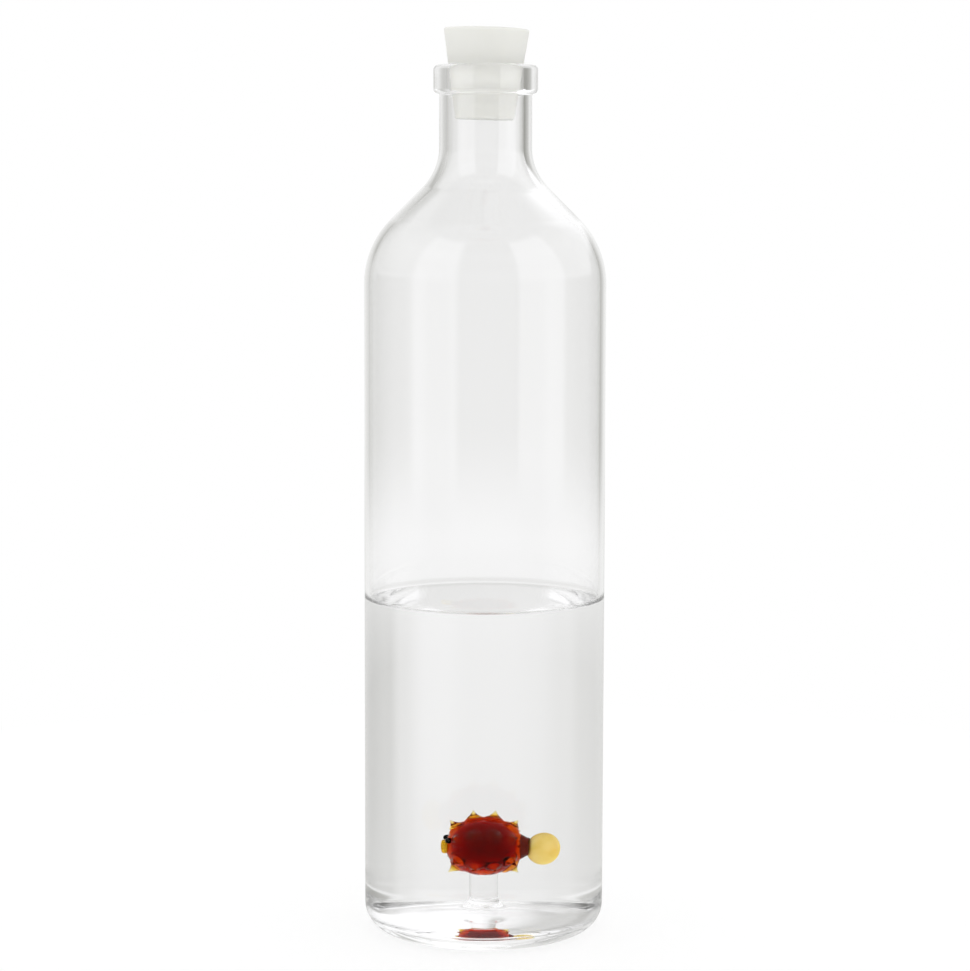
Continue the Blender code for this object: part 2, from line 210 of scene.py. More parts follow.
# %% What the glass lets through
# Grey cards before a white field, and the field above their tops.
SEEN_THROUGH = (
    (-180, 1.0), (-152, 1.0), (-140, 0.75), (-122, 0.75), (-112, 1.0), (-82, 0.75), (-62, 0.58),
    (-45, 0.58), (-32, 0.63), (-22, 0.76), (-12, 0.88), (-6, 0.91), (4, 0.91), (9, 0.95), (14, 0.94),
    (23, 0.74), (30, 0.5), (50, 0.33), (82, 0.45), (112, 1.0), (122, 0.75), (140, 0.75), (152, 1.0),
    (180, 1.0),
)
SEEN_ABOVE = (
    (-180, 1.18), (-90, 1.18), (-60, 0.78), (-38, 0.6), (-29, 0.48), (-25, 0.5), (-20, 0.68), (-12, 0.7),
    (-3, 1.05), (5, 1.18), (180, 1.18),
)
CARD_TOPS = ((-180, 6), (-40, 6), (12, 6), (20, 13), (46, 14), (56, 6), (180, 6))  # elevations
CARD_FADE = 3.5                   # the tops fade out this far up and down
# The table, by elevation: its grey, and how much of the cards shows over it.
TABLE_GREY = (
    (-90, 0.75), (-60, 0.75), (-44, 0.85), (-33, 1.0), (-27, 0.92), (-19, 0.85), (-13.5, 0.89), (-10, 0.98),
    (-7, 1.06),
)
TABLE_CARDS = ((-90, 0.0), (-22, 0.0), (-14, 0.34), (-10, 0.62), (-8.8, 0.66), (-8, 0.4), (-7, 0.3))
TABLE_EDGE = (-7.4, -4.8)         # the elevations between which the table ends
# The Mix node's sockets for colours: the second colour's share, the two colours, and what comes out.
SHARE, FIRST, SECOND, MIXED = 0, 6, 7, 2

cards = ring(SEEN_THROUGH)
# The ramp holds each top as a share of 90 degrees. What is left of the elevation is the height above it.
card_tops = ring([(angle, top / 90) for angle, top in CARD_TOPS])
above_top = add_node(
    sky, "ShaderNodeMath", {0: card_tops, 1: -90, 2: elevation}, operation="MULTIPLY_ADD"
).outputs[0]
over_cards = add_node(sky, "ShaderNodeMapRange", {
    "Value": above_top, "From Min": -CARD_FADE, "From Max": CARD_FADE,
}, interpolation_type="SMOOTHSTEP").outputs["Result"]
behind = add_node(sky, "ShaderNodeMix", {
    SHARE: over_cards, FIRST: cards, SECOND: ring(SEEN_ABOVE),
}, data_type="RGBA").outputs[MIXED]
table = add_node(sky, "ShaderNodeMix", {
    SHARE: column(TABLE_CARDS), FIRST: column(TABLE_GREY), SECOND: cards,
}, data_type="RGBA").outputs[MIXED]
over_table = add_node(sky, "ShaderNodeMapRange", {
    "Value": elevation, "From Min": TABLE_EDGE[0], "From Max": TABLE_EDGE[1],
}, interpolation_type="SMOOTHSTEP").outputs["Result"]
let_through = add_node(sky, "ShaderNodeMix", {
    SHARE: over_table, FIRST: table, SECOND: behind,
}, data_type="RGBA").outputs[MIXED]
print("the darkest card seen through the glass:", min(level for _, level in SEEN_THROUGH))

# %% [markdown]
# A smooth skin also mirrors a little of what is round it, and more so towards the bottle's edges. In front is
# a dark room with a tall soft box on each side, which gives the two pale upright bands. The light field
# behind is mirrored too, at the very edges.

# %% What the glass mirrors
MIRRORED = (
    (-180, 0.02), (-158, 0.02), (-148, 1.8), (-112, 1.8), (-102, 0.6), (-60, 0.75), (-32, 0.7), (-22, 0.75),
    (-12, 0.87), (-6, 1.0), (8, 1.0), (14, 0.85), (23, 0.7), (30, 0.55), (50, 0.6), (95, 0.6), (103, 1.9),
    (145, 1.9), (151, 0.02), (180, 0.02),
)
BOX_TOP = (50.0, 58.0)            # the elevations between which the boxes end
CEILING_GREY = 0.25               # what is mirrored above them
# The table is white close under the bottle. Further out it goes by the compass, and is dark in front.
TABLE_NEARNESS = ((-90, 1.0), (-28, 1.0), (-18, 0.0))
TABLE_FURTHER_OUT = ((-180, 0.02), (-125, 0.02), (-85, 0.75), (85, 0.7), (125, 0.02), (180, 0.02))


def grey(level):
    """An amount of light as linear red, green, blue and alpha."""
    return (level, level, level, 1)


over_boxes = add_node(sky, "ShaderNodeMapRange", {
    "Value": elevation, "From Min": BOX_TOP[0], "From Max": BOX_TOP[1],
}, interpolation_type="SMOOTHSTEP").outputs["Result"]
room = add_node(sky, "ShaderNodeMix", {
    SHARE: over_boxes, FIRST: ring(MIRRORED), SECOND: grey(CEILING_GREY),
}, data_type="RGBA").outputs[MIXED]
mirrored_table = add_node(sky, "ShaderNodeMix", {
    SHARE: column(TABLE_NEARNESS), FIRST: ring(TABLE_FURTHER_OUT), SECOND: grey(1.0),
}, data_type="RGBA").outputs[MIXED]
mirrored = add_node(sky, "ShaderNodeMix", {
    SHARE: over_table, FIRST: mirrored_table, SECOND: room,
}, data_type="RGBA").outputs[MIXED]
print("the brightest box mirrored in the glass:", max(level for _, level in MIRRORED))

# %% [markdown]
# Every ray that leaves the scene asks the world for its colour. The Light Path node tells what the ray did
# last, so each kind of ray can see a studio of its own. Lamps could light the plug and the floor, but the
# glass would mirror them, and an even white from all sides is the plainest soft light.

# %% Which light sees which
# Behind glass the light on matt surfaces is stronger, because the glass keeps part of it out.
MATT_LIGHT = 1.08
MATT_LIGHT_INSIDE = 1.78

path = add_node(sky, "ShaderNodeLightPath").outputs
on_matt = add_node(sky, "ShaderNodeMix", {
    SHARE: path["Is Transmission Ray"], FIRST: grey(MATT_LIGHT), SECOND: grey(MATT_LIGHT_INSIDE),
}, data_type="RGBA").outputs[MIXED]
# Later rows go over earlier ones: a ray that has left a matt surface counts as that, even where it goes
# through glass afterwards.
light = grey(MATT_LIGHT)
for ray, seen in (
    ("Is Glossy Ray", mirrored), ("Is Transmission Ray", let_through), ("Diffuse Depth", on_matt),
    ("Is Camera Ray", grey(1.0)),
):
    light = add_node(sky, "ShaderNodeMix", {
        SHARE: path[ray], FIRST: light, SECOND: seen,
    }, data_type="RGBA").outputs[MIXED]
background = add_node(sky, "ShaderNodeBackground", {"Color": light, "Strength": 1.0})
add_node(sky, "ShaderNodeOutputWorld", {"Surface": background.outputs[0]})
print("the studio is painted with", len(sky.nodes), "nodes")

# %% [markdown]
# The floor is a round of matt white card. The camera sees it as white as the background, so its edge can't
# be seen, and a small share of that white comes from the light that falls on it, so it darkens a little where
# the bottle stands in its light. For what the glass bends or mirrors it is clear, and the world's painted
# table shows in its place.

# %% Floor
FLOOR_DISC_RADIUS = 400 * MM
FLOOR_SIDES = 96

floor_form = bmesh.new()
bmesh.ops.create_circle(floor_form, cap_ends=True, segments=FLOOR_SIDES, radius=FLOOR_DISC_RADIUS)
floor_mesh = bpy.data.meshes.new("studio_floor")
floor_form.to_mesh(floor_mesh)
floor_form.free()
floor_disc = bpy.data.objects.new("studio_floor", floor_mesh)
scene.collection.objects.link(floor_disc)
print("the floor is", round(2 * FLOOR_DISC_RADIUS / MM), "mm across")

# %% Matt white card
SHADOW_SHARE = 0.14               # how much of its white comes from the light that falls on it

card, card_tree, card_output = new_material("matt_white_card")
lit_card = add_node(card_tree, "ShaderNodeBsdfDiffuse", {"Color": linear("FFFFFF")})
plain_card = add_node(card_tree, "ShaderNodeEmission", {"Color": linear("FFFFFF"), "Strength": 1.0})
card_path = add_node(card_tree, "ShaderNodeLightPath").outputs
plain_share = add_node(card_tree, "ShaderNodeMath", {
    0: card_path["Is Camera Ray"], 1: 1 - SHADOW_SHARE,
}, operation="MULTIPLY")
card_seen = add_node(card_tree, "ShaderNodeMixShader", {
    0: plain_share.outputs[0], 1: lit_card.outputs[0], 2: plain_card.outputs[0],
})
by_glass = add_node(card_tree, "ShaderNodeMath", {
    0: card_path["Is Glossy Ray"], 1: card_path["Is Transmission Ray"],
}, operation="ADD", use_clamp=True)
no_card = add_node(card_tree, "ShaderNodeBsdfTransparent")
card_skin = add_node(card_tree, "ShaderNodeMixShader", {
    0: by_glass.outputs[0], 1: card_seen.outputs[0], 2: no_card.outputs[0],
})
card_tree.links.new(card_skin.outputs[0], card_output.inputs["Surface"])
floor_mesh.materials.append(card)

# %% [markdown]
# The bottle is borosilicate glass, blown and turned in a lathe's flame. It is colourless, with a faint grey
# in its thickness, and its fire-polished skin is perfectly smooth. Light bends by how unlike the two sides of
# a surface are: 1.47 between air and this glass, but only 1.47 / 1.333 between water and glass. So the glass
# has two materials, one for the skin in air and one for the skin under water.

# %% Clear glass
GLASS_IOR = 1.47
WATER_IOR = 1.333
GLASS_TINT = "FCFCFC"             # each crossing of a skin takes this little


def clear_glass(name, ior):
    """Colourless glass with a fire-polished skin."""
    material, tree, output = new_material(name)
    shader = add_node(tree, "ShaderNodeBsdfPrincipled", {
        "Base Color": linear(GLASS_TINT), "Roughness": 0.0, "IOR": ior, "Transmission Weight": 1.0,
    })
    tree.links.new(shader.outputs[0], output.inputs["Surface"])
    return material


glass_in_air = clear_glass("borosilicate_glass_in_air", GLASS_IOR)
glass_in_water = clear_glass("borosilicate_glass_in_water", GLASS_IOR / WATER_IOR)
print("the glass bends light by", GLASS_IOR, "in air and by", round(GLASS_IOR / WATER_IOR, 3), "under water")

# %% [markdown]
# A blown bottle is round, so its form is one profile turned about its axis. The profile is drawn as with a
# pen: a vertex is extruded along each straight stretch and spun about the centre of each round. It is drawn
# in two strokes, the wet skin first, so that each stroke's faces can take their own material.

# %% A pen for profiles
ROUND_STEPS = 12                  # stretches along a round of the profile
AROUND_STEPS = 160                # sides of what is turned
WELD = 0.0005 * MM                # vertices nearer than this become one
CREASE = math.radians(22)         # corners sharper than this stay crisp
QUARTER = math.pi / 2


def line_to(form, tip, radius, height):
    """Extrudes the pen's last vertex to a new place and gives the new vertex."""
    new = bmesh.ops.extrude_vert_indiv(form, verts=[tip])["verts"][0]
    new.co = (radius, 0, height)
    return new


def round_to(form, tip, centre, size, start, end, steps=ROUND_STEPS):
    """A straight stretch to where a round starts, then the round, spun about its centre."""
    x, z = centre
    tip = line_to(form, tip, x + size * math.cos(start), z + size * math.sin(start))
    drawn = bmesh.ops.spin(
        form, geom=[tip], cent=(x, 0, z), axis=(0, -1, 0), angle=end - start, steps=steps
    )
    return drawn["geom_last"][0]


def turn_profile(form, steps=AROUND_STEPS):
    """Turns what has been drawn, the form's only loose edges, once round Z."""
    wire = [edge for edge in form.edges if edge.is_wire]
    ends = list(dict.fromkeys(vert for edge in wire for vert in edge.verts))
    bmesh.ops.spin(
        form, geom=ends + wire, cent=(0, 0, 0), axis=(0, 0, 1), angle=math.tau, steps=steps, use_merge=True
    )


def finish_form(form, name, materials, body, slot, *nodes):
    """Closes a form, turns its faces outwards, and puts it in the scene in place of the nodes."""
    bmesh.ops.remove_doubles(form, verts=form.verts, dist=WELD)
    bmesh.ops.recalc_face_normals(form, faces=form.faces)
    open_edges = sum(not edge.is_manifold for edge in form.edges)
    mesh = bpy.data.meshes.new(name)
    form.to_mesh(mesh)
    form.free()
    mesh.shade_smooth()
    mesh.set_sharp_from_angle(angle=CREASE)
    for material in materials:
        mesh.materials.append(material)
    piece = bpy.data.objects.new(name, mesh)
    scene.collection.objects.link(piece)
    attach(piece, body)
    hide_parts(*nodes)
    print(f"{name}: {len(mesh.polygons)} faces, {open_edges} open edges")


# %% [markdown]
# The floor was pushed up from below while it was soft, which leaves a low dome inside and a hollow outside.
# It could be drawn by eye, but the water rests on it and light crosses it many times, so it is worked out as
# part of a large sphere that runs smoothly into the round between floor and wall.

# %% The domed floor
WALL = 2.0 * MM
FLOOR_HEIGHT = 9.5 * MM           # the top of the dome
FLOOR_RISE = 4.5 * MM             # how far the dome's middle is above its edge
FLOOR_ROUND = 5.0 * MM

INNER_RADIUS = BODY_RADIUS - WALL
FLOOR_CORNER = (INNER_RADIUS - FLOOR_ROUND, FLOOR_HEIGHT - FLOOR_RISE + FLOOR_ROUND)
CORNER_DROP = FLOOR_ROUND - FLOOR_RISE
DOME_RADIUS = (FLOOR_CORNER[0] ** 2 + CORNER_DROP ** 2 - FLOOR_ROUND ** 2) / (2 * FLOOR_RISE)
DOME_CENTRE = FLOOR_HEIGHT - DOME_RADIUS
DOME_TURN = math.asin(FLOOR_CORNER[0] / (DOME_RADIUS + FLOOR_ROUND))
print("the floor's dome is part of a sphere of radius", round(DOME_RADIUS / MM, 1), "mm")

# %% [markdown]
# The bottle and the post inside it are one piece of glass: the post was melted onto the floor before the
# bottle was closed. The wet stroke starts under the fish's belly, runs down the post and its flared foot,
# across the floor and up the wall to the water's edge. The dry stroke goes on up the wall, through the
# shoulder and neck, over the lip, and down the outside to the hollow under the base.

# %% Post, floor and wet wall
STEM_RADIUS = 3.6 * MM
STEM_FOOT_ROUND = 3.5 * MM
BELLY_GAP = 0.05 * MM             # keeps the post's hollow top off the fish
WET_SKIN = 1                      # the second of the bottle's two materials

glass_form = bmesh.new()
belly = BALL_RADIUS + BELLY_GAP
tip = glass_form.verts.new((0, 0, BALL_CENTRE.z - belly))
belly_edge = math.acos(STEM_RADIUS / belly)
tip = round_to(glass_form, tip, (0, BALL_CENTRE.z), belly, -QUARTER, -belly_edge)
foot_reach = STEM_RADIUS + STEM_FOOT_ROUND
foot_turn = math.asin(foot_reach / (DOME_RADIUS + STEM_FOOT_ROUND))
foot = (foot_reach, DOME_CENTRE + (DOME_RADIUS + STEM_FOOT_ROUND) * math.cos(foot_turn))
tip = round_to(glass_form, tip, foot, STEM_FOOT_ROUND, math.pi, math.pi + QUARTER - foot_turn)
tip = round_to(glass_form, tip, (0, DOME_CENTRE), DOME_RADIUS, QUARTER - foot_turn, QUARTER - DOME_TURN)
tip = round_to(glass_form, tip, FLOOR_CORNER, FLOOR_ROUND, -QUARTER - DOME_TURN, 0)
line_to(glass_form, tip, INNER_RADIUS, CONTACT_HEIGHT)
turn_profile(glass_form)
for face in glass_form.faces:
    face.material_index = WET_SKIN
print("faces of wet skin:", len(glass_form.faces))

# %% Shoulder, neck, lip and outside
BODY_HEIGHT = 216.8 * MM          # where the straight wall turns into the shoulder
SHOULDER_ROUND = 30.0 * MM
SHOULDER_ANGLE = math.radians(45)
NECK_RADIUS = 15.3 * MM
NECK_BLEND = 18.5 * MM            # the hollow round between shoulder and neck
NECK_HEIGHT = 26.7 * MM           # from the end of that round up to the lip
BORE_RADIUS = 12.5 * MM
BORE_EDGE_ROUND = 0.8 * MM
COLLAR_RADIUS = 17.2 * MM
COLLAR_HEIGHT = 9.4 * MM
COLLAR_ROUND = 1.5 * MM
COLLAR_FOOT_ROUND = 0.6 * MM
HEEL_ROUND = 9.0 * MM
REST_RING_WIDTH = 3.0 * MM        # the flat ring that the bottle stands on
PUNT_DEPTH = 5.0 * MM             # the hollow under the dome

shoulder = (BODY_RADIUS - SHOULDER_ROUND, BODY_HEIGHT)
neck_bend = (NECK_RADIUS + NECK_BLEND, LIP_HEIGHT - NECK_HEIGHT)
bore_bend = NECK_BLEND + NECK_RADIUS - BORE_RADIUS
tip = glass_form.verts.new((INNER_RADIUS, 0, CONTACT_HEIGHT))
tip = round_to(glass_form, tip, shoulder, SHOULDER_ROUND - WALL, 0, SHOULDER_ANGLE)
tip = round_to(glass_form, tip, neck_bend, bore_bend, math.pi + SHOULDER_ANGLE, math.pi)
lip = (BORE_RADIUS + BORE_EDGE_ROUND, LIP_HEIGHT - BORE_EDGE_ROUND)
tip = round_to(glass_form, tip, lip, BORE_EDGE_ROUND, math.pi, QUARTER)
collar_top = (COLLAR_RADIUS - COLLAR_ROUND, LIP_HEIGHT - COLLAR_ROUND)
tip = round_to(glass_form, tip, collar_top, COLLAR_ROUND, QUARTER, 0)
collar_foot = (COLLAR_RADIUS - COLLAR_ROUND, LIP_HEIGHT - COLLAR_HEIGHT + COLLAR_ROUND)
tip = round_to(glass_form, tip, collar_foot, COLLAR_ROUND, 0, -QUARTER)
under_collar = (NECK_RADIUS + COLLAR_FOOT_ROUND, LIP_HEIGHT - COLLAR_HEIGHT - COLLAR_FOOT_ROUND)
tip = round_to(glass_form, tip, under_collar, COLLAR_FOOT_ROUND, QUARTER, math.pi)
tip = round_to(glass_form, tip, neck_bend, NECK_BLEND, math.pi, math.pi + SHOULDER_ANGLE)
tip = round_to(glass_form, tip, shoulder, SHOULDER_ROUND, SHOULDER_ANGLE, 0)
tip = round_to(glass_form, tip, (BODY_RADIUS - HEEL_ROUND, HEEL_ROUND), HEEL_ROUND, 0, -QUARTER)
ring_inner = BODY_RADIUS - HEEL_ROUND - REST_RING_WIDTH
punt_radius = (ring_inner ** 2 + PUNT_DEPTH ** 2) / (2 * PUNT_DEPTH)
punt_turn = math.asin(ring_inner / punt_radius)
round_to(glass_form, tip, (0, PUNT_DEPTH - punt_radius), punt_radius, QUARTER - punt_turn, QUARTER)
turn_profile(glass_form)
finish_form(
    glass_form, "blown_glass_bottle", [glass_in_air, glass_in_water], "bottle", "clear_glass",
    "bottle_glass", "figurine_stem",
)

# %% [markdown]
# The water fills the bottle to a little over a third and climbs the glass at its edge in a small curve, the
# meniscus. Only its top is a border that light notices here, because the wet skin of the glass already bends
# the light for both. So the rest of the water's surface is left wholly clear. The water could be one closed
# solid of water inside another of glass, but then each border would need both skins at the very same place.
# Still water is as smooth and colourless as the glass, so the eye knows it by its bright top and by how much
# larger the fish looks in it.

# %% Still water
still_water, water_tree, water_output = new_material("still_water")
water_shader = add_node(water_tree, "ShaderNodeBsdfPrincipled", {
    "Base Color": linear("FFFFFF"), "Roughness": 0.0, "IOR": WATER_IOR, "Transmission Weight": 1.0,
})
water_tree.links.new(water_shader.outputs[0], water_output.inputs["Surface"])

wetted, wetted_tree, wetted_output = new_material("water_against_glass")
wetted_shader = add_node(wetted_tree, "ShaderNodeBsdfTransparent", {"Color": linear("FFFFFF")})
wetted_tree.links.new(wetted_shader.outputs[0], wetted_output.inputs["Surface"])

# %% Water in the bottle
MENISCUS_ROUND = 2.0 * MM         # how far the water climbs the wall
SKIN_GAP = 0.02 * MM              # keeps the clear surface just off the glass
AGAINST_GLASS = 1                 # the second of the water's two materials

water_radius = INNER_RADIUS - SKIN_GAP
water_level = CONTACT_HEIGHT - MENISCUS_ROUND
water_form = bmesh.new()
tip = water_form.verts.new((water_radius, 0, CONTACT_HEIGHT))
tip = round_to(water_form, tip, FLOOR_CORNER, FLOOR_ROUND - SKIN_GAP, 0, -QUARTER - DOME_TURN)
round_to(water_form, tip, (0, DOME_CENTRE), DOME_RADIUS + SKIN_GAP, QUARTER - DOME_TURN, QUARTER)
turn_profile(water_form)
for face in water_form.faces:
    face.material_index = AGAINST_GLASS
tip = water_form.verts.new((0, 0, water_level))
climb = (water_radius - MENISCUS_ROUND, CONTACT_HEIGHT)
round_to(water_form, tip, climb, MENISCUS_ROUND, -QUARTER, 0)
turn_profile(water_form)
finish_form(water_form, "water_fill", [still_water, wetted], "bottle", "water", "water")

# %% [markdown]
# The plug is moulded silicone: white, a little see-through, with a dry satin skin. Light goes some way into
# it and comes out softened, which is what Subsurface does. Its form is one more profile to turn: a crowned
# top, a straight taper and a flat bottom. It isn't pushed in quite straight, as nobody does.

# %% Silicone
GRAIN_LENGTH = 0.6 * MM           # the mould's satin grain, drawn coarser than it is so that it shows
GRAIN_HEIGHT = 0.05 * MM

silicone, silicone_tree, silicone_output = new_material("moulded_white_silicone")
spots = add_node(silicone_tree, "ShaderNodeTexCoord").outputs["Object"]
grain = add_node(silicone_tree, "ShaderNodeTexNoise", {
    "Vector": spots, "Scale": 1 / GRAIN_LENGTH, "Detail": 2.0,
})
skin = add_node(silicone_tree, "ShaderNodeBump", {
    "Height": grain.outputs[0], "Strength": 0.15, "Distance": GRAIN_HEIGHT,
})
silicone_shader = add_node(silicone_tree, "ShaderNodeBsdfPrincipled", {
    "Base Color": linear("E3E3DE"), "Roughness": 0.5, "IOR": 1.41, "Normal": skin.outputs[0],
    "Subsurface Weight": 0.4, "Subsurface Radius": (1.0, 1.0, 0.9), "Subsurface Scale": 2.0 * MM,
})
silicone_tree.links.new(silicone_shader.outputs[0], silicone_output.inputs["Surface"])

# %% Plug
PLUG_TOP_RADIUS = plug_high.x
PLUG_BOTTOM_RADIUS = 9.75 * MM
PLUG_LENGTH = 29.5 * MM
PLUG_TOP_ROUND = 0.6 * MM
PLUG_BOTTOM_ROUND = 0.8 * MM
PLUG_SIDES = 96
PLUG_TILT = math.radians(1.3)

plug_form = bmesh.new()
lean = math.atan2(PLUG_TOP_RADIUS - PLUG_BOTTOM_RADIUS, PLUG_LENGTH)
crown = plug_high.z - plug_low.z - PLUG_LENGTH
crown_round = (PLUG_TOP_RADIUS ** 2 + crown ** 2) / (2 * crown)
crown_edge = math.asin((PLUG_TOP_RADIUS - PLUG_TOP_ROUND) / crown_round)
tip = plug_form.verts.new((0, 0, plug_high.z))
tip = round_to(plug_form, tip, (0, plug_high.z - crown_round), crown_round, QUARTER, QUARTER - crown_edge)
edge = (PLUG_TOP_RADIUS - PLUG_TOP_ROUND, plug_low.z + PLUG_LENGTH - PLUG_TOP_ROUND)
tip = round_to(plug_form, tip, edge, PLUG_TOP_ROUND, QUARTER - crown_edge, -lean)
base = (PLUG_BOTTOM_RADIUS - PLUG_BOTTOM_ROUND * math.cos(lean), plug_low.z + PLUG_BOTTOM_ROUND)
tip = round_to(plug_form, tip, base, PLUG_BOTTOM_ROUND, -lean, -QUARTER)
line_to(plug_form, tip, 0, plug_low.z)
turn_profile(plug_form, PLUG_SIDES)
bmesh.ops.rotate(
    plug_form, cent=(0, 0, LIP_HEIGHT), matrix=Matrix.Rotation(PLUG_TILT, 3, "Y"), verts=plug_form.verts
)
finish_form(plug_form, "silicone_plug", [silicone], "stopper", "white_silicone", "stopper")

# %% [markdown]
# The fish is lampwork: a core of ruby glass melted on a rod and cased in thin red-amber glass, with lumps of
# the casing drawn up into golden points while it is soft. Red glass isn't painted. It takes the blue and
# green out of the light that crosses it, more the thicker it is, so the casing is orange at the rim, and the
# core is almost black through the middle. Volume Absorption does exactly that. The fish is under water, so
# its skin bends the light by 1.5 / 1.333 only, and the core inside the casing doesn't bend it at all.

# %% Lampwork glass
LAMPWORK_IOR = 1.5 / WATER_IOR

# Shares of red, green and blue that get through one millimetre. The ruby's come on top of the casing's,
# whose volume goes on through the core.
CASING_KEPT_PER_MM = (0.945, 0.755, 0.48)
RUBY_KEPT_PER_MM = (0.915, 0.665, 0.66)
GOLD_KEPT_PER_MM = (0.9, 0.74, 0.3)

RIPPLE_LENGTH = 4.0 * MM
RIPPLE_HEIGHT = 0.6 * MM


def lampwork_glass(name, kept_per_mm, ior=LAMPWORK_IOR):
    """Clear glass that lets the given shares of red, green and blue through each millimetre."""
    material, tree, output = new_material(name)
    shader = add_node(tree, "ShaderNodeBsdfPrincipled", {
        "Base Color": linear("FFFFFF"), "Roughness": 0.0, "IOR": ior, "Transmission Weight": 1.0,
    })
    tree.links.new(shader.outputs[0], output.inputs["Surface"])
    losses = [-math.log(share) / MM for share in kept_per_mm]
    densest = max(losses)
    colour = tuple(1 - loss / densest for loss in losses) + (1.0,)
    inside = add_node(tree, "ShaderNodeVolumeAbsorption", {"Color": colour, "Density": densest})
    tree.links.new(inside.outputs[0], output.inputs["Volume"])
    return material, tree, shader


# The casing's skin is wavy from the flame, which breaks up what is seen through it.
casing, casing_tree, casing_shader = lampwork_glass("lampwork_red_amber_casing", CASING_KEPT_PER_MM)
casing_spots = add_node(casing_tree, "ShaderNodeTexCoord").outputs["Object"]
ripples = add_node(casing_tree, "ShaderNodeTexNoise", {
    "Vector": casing_spots, "Scale": 1 / RIPPLE_LENGTH, "Detail": 2.0,
})
casing_skin = add_node(casing_tree, "ShaderNodeBump", {
    "Height": ripples.outputs[0], "Strength": 0.6, "Distance": RIPPLE_HEIGHT,
})
casing_tree.links.new(casing_skin.outputs[0], casing_shader.inputs["Normal"])

# The ruby is one glass with the casing, so its own skin bends nothing. The golden glass is thin and stays
# bright.
ruby = lampwork_glass("lampwork_ruby_core", RUBY_KEPT_PER_MM, 1.0)[0]
golden = lampwork_glass("lampwork_golden_glass", GOLD_KEPT_PER_MM)[0]
crossing = [round(share ** (2 * BALL_RADIUS / MM), 3) for share in CASING_KEPT_PER_MM]
print("red, green and blue left after a ball of casing glass:", crossing)

# %% [markdown]
# The fish's other glasses are so deep in colour that little light crosses them. They could absorb light like
# the red, but only the colour at their skin shows, so that is simply given. Garnet glass is almost black,
# amber glass glows a little from inside, and black glass shows only its gloss. Ivory glass is clouded: light
# sinks in and comes out warm, and some parts of it are milkier than others.

# %% Deep and clouded glass
IVORY_CLOUD = 6.0 * MM            # the size of the milkier parts


def deep_glass(name, colour, roughness, clearness=0.0):
    """Glass so deep in colour that it shows at the skin."""
    material, tree, output = new_material(name)
    shader = add_node(tree, "ShaderNodeBsdfPrincipled", {
        "Base Color": linear(colour), "Roughness": roughness, "IOR": LAMPWORK_IOR,
        "Transmission Weight": clearness,
    })
    tree.links.new(shader.outputs[0], output.inputs["Surface"])
    return material


garnet = deep_glass("lampwork_garnet_glass", "5E1609", 0.1)
amber = deep_glass("lampwork_amber_glass", "E0B020", 0.08, 0.4)
jet = deep_glass("lampwork_black_glass", "0A0908", 0.1)

ivory, ivory_tree, ivory_output = new_material("lampwork_ivory_glass")
ivory_spots = add_node(ivory_tree, "ShaderNodeTexCoord").outputs["Object"]
cloud = add_node(ivory_tree, "ShaderNodeTexNoise", {
    "Vector": ivory_spots, "Scale": 1 / IVORY_CLOUD, "Detail": 2.0,
})
milk = add_node(ivory_tree, "ShaderNodeValToRGB", {"Fac": cloud.outputs[0]})
for element, (cloudiness, colour) in zip(milk.color_ramp.elements, ((0.35, "E2C465"), (0.65, "EBD588"))):
    element.position = cloudiness
    element.color = linear(colour)
ivory_shader = add_node(ivory_tree, "ShaderNodeBsdfPrincipled", {
    "Base Color": milk.outputs[0], "Roughness": 0.15, "IOR": LAMPWORK_IOR,
    "Subsurface Weight": 0.5, "Subsurface Radius": (1.0, 0.8, 0.4), "Subsurface Scale": 1.5 * MM,
})
ivory_tree.links.new(ivory_shader.outputs[0], ivory_output.inputs["Surface"])

# %% [markdown]
# The ball with the root of its tail, the mounds on it and the golden points pulled from them are each turned
# from a profile and set where the solid model has them. No two are alike, so each gets its own width, length
# and lean, from a seeded random source that gives the same fish each time. A voxel remesh then melts the ball
# and its mounds into one skin, and a few rounds of smoothing do what the flame does to its corners. The
# points stay apart, because they are another glass.

# %% Turned pieces on the ball
def add_turned(whole, form, steps, place):
    """Turns a drawn profile, moves it to its place and adds it to the whole."""
    turn_profile(form, steps)
    bmesh.ops.remove_doubles(form, verts=form.verts, dist=WELD)
    bmesh.ops.recalc_face_normals(form, faces=form.faces)
    bmesh.ops.transform(form, matrix=place, verts=form.verts)
    piece = bpy.data.meshes.new("turned_piece")
    form.to_mesh(piece)
    form.free()
    whole.from_mesh(piece)
    bpy.data.meshes.remove(piece)


def node_middle(node):
    """The mean of a solid's corners, which lies on the axis of a turned solid."""
    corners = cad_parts[node].data.vertices
    return sum((vert.co for vert in corners), Vector()) / len(corners)


def turn_towards(way):
    """The matrix that turns Z to point a given way."""
    return Vector((0, 0, 1)).rotation_difference(way).to_matrix().to_4x4()


# %% Ball and tail root
ROOT_JOIN_RADIUS = 5.1 * MM       # where the ball turns into the root of the tail
ROOT_END_RADIUS = 3.0 * MM
ROOT_ROUND = 0.8 * MM
BALL_SIDES = 64
BALL_STEPS = 48                   # stretches along the ball's round

fish_form = bmesh.new()
ball_form = bmesh.new()
root_length = ball_high.x - BALL_RADIUS
join = math.asin(ROOT_JOIN_RADIUS / BALL_RADIUS)
tip = ball_form.verts.new((0, 0, BALL_RADIUS + root_length))
root_corner = (ROOT_END_RADIUS - ROOT_ROUND, BALL_RADIUS + root_length - ROOT_ROUND)
tip = round_to(ball_form, tip, root_corner, ROOT_ROUND, QUARTER, 0)
round_to(ball_form, tip, (0, 0), BALL_RADIUS, QUARTER - join, -QUARTER, BALL_STEPS)
to_tail = Matrix.Translation(BALL_CENTRE) @ Matrix.Rotation(QUARTER, 4, "Y")
add_turned(fish_form, ball_form, BALL_SIDES, to_tail)

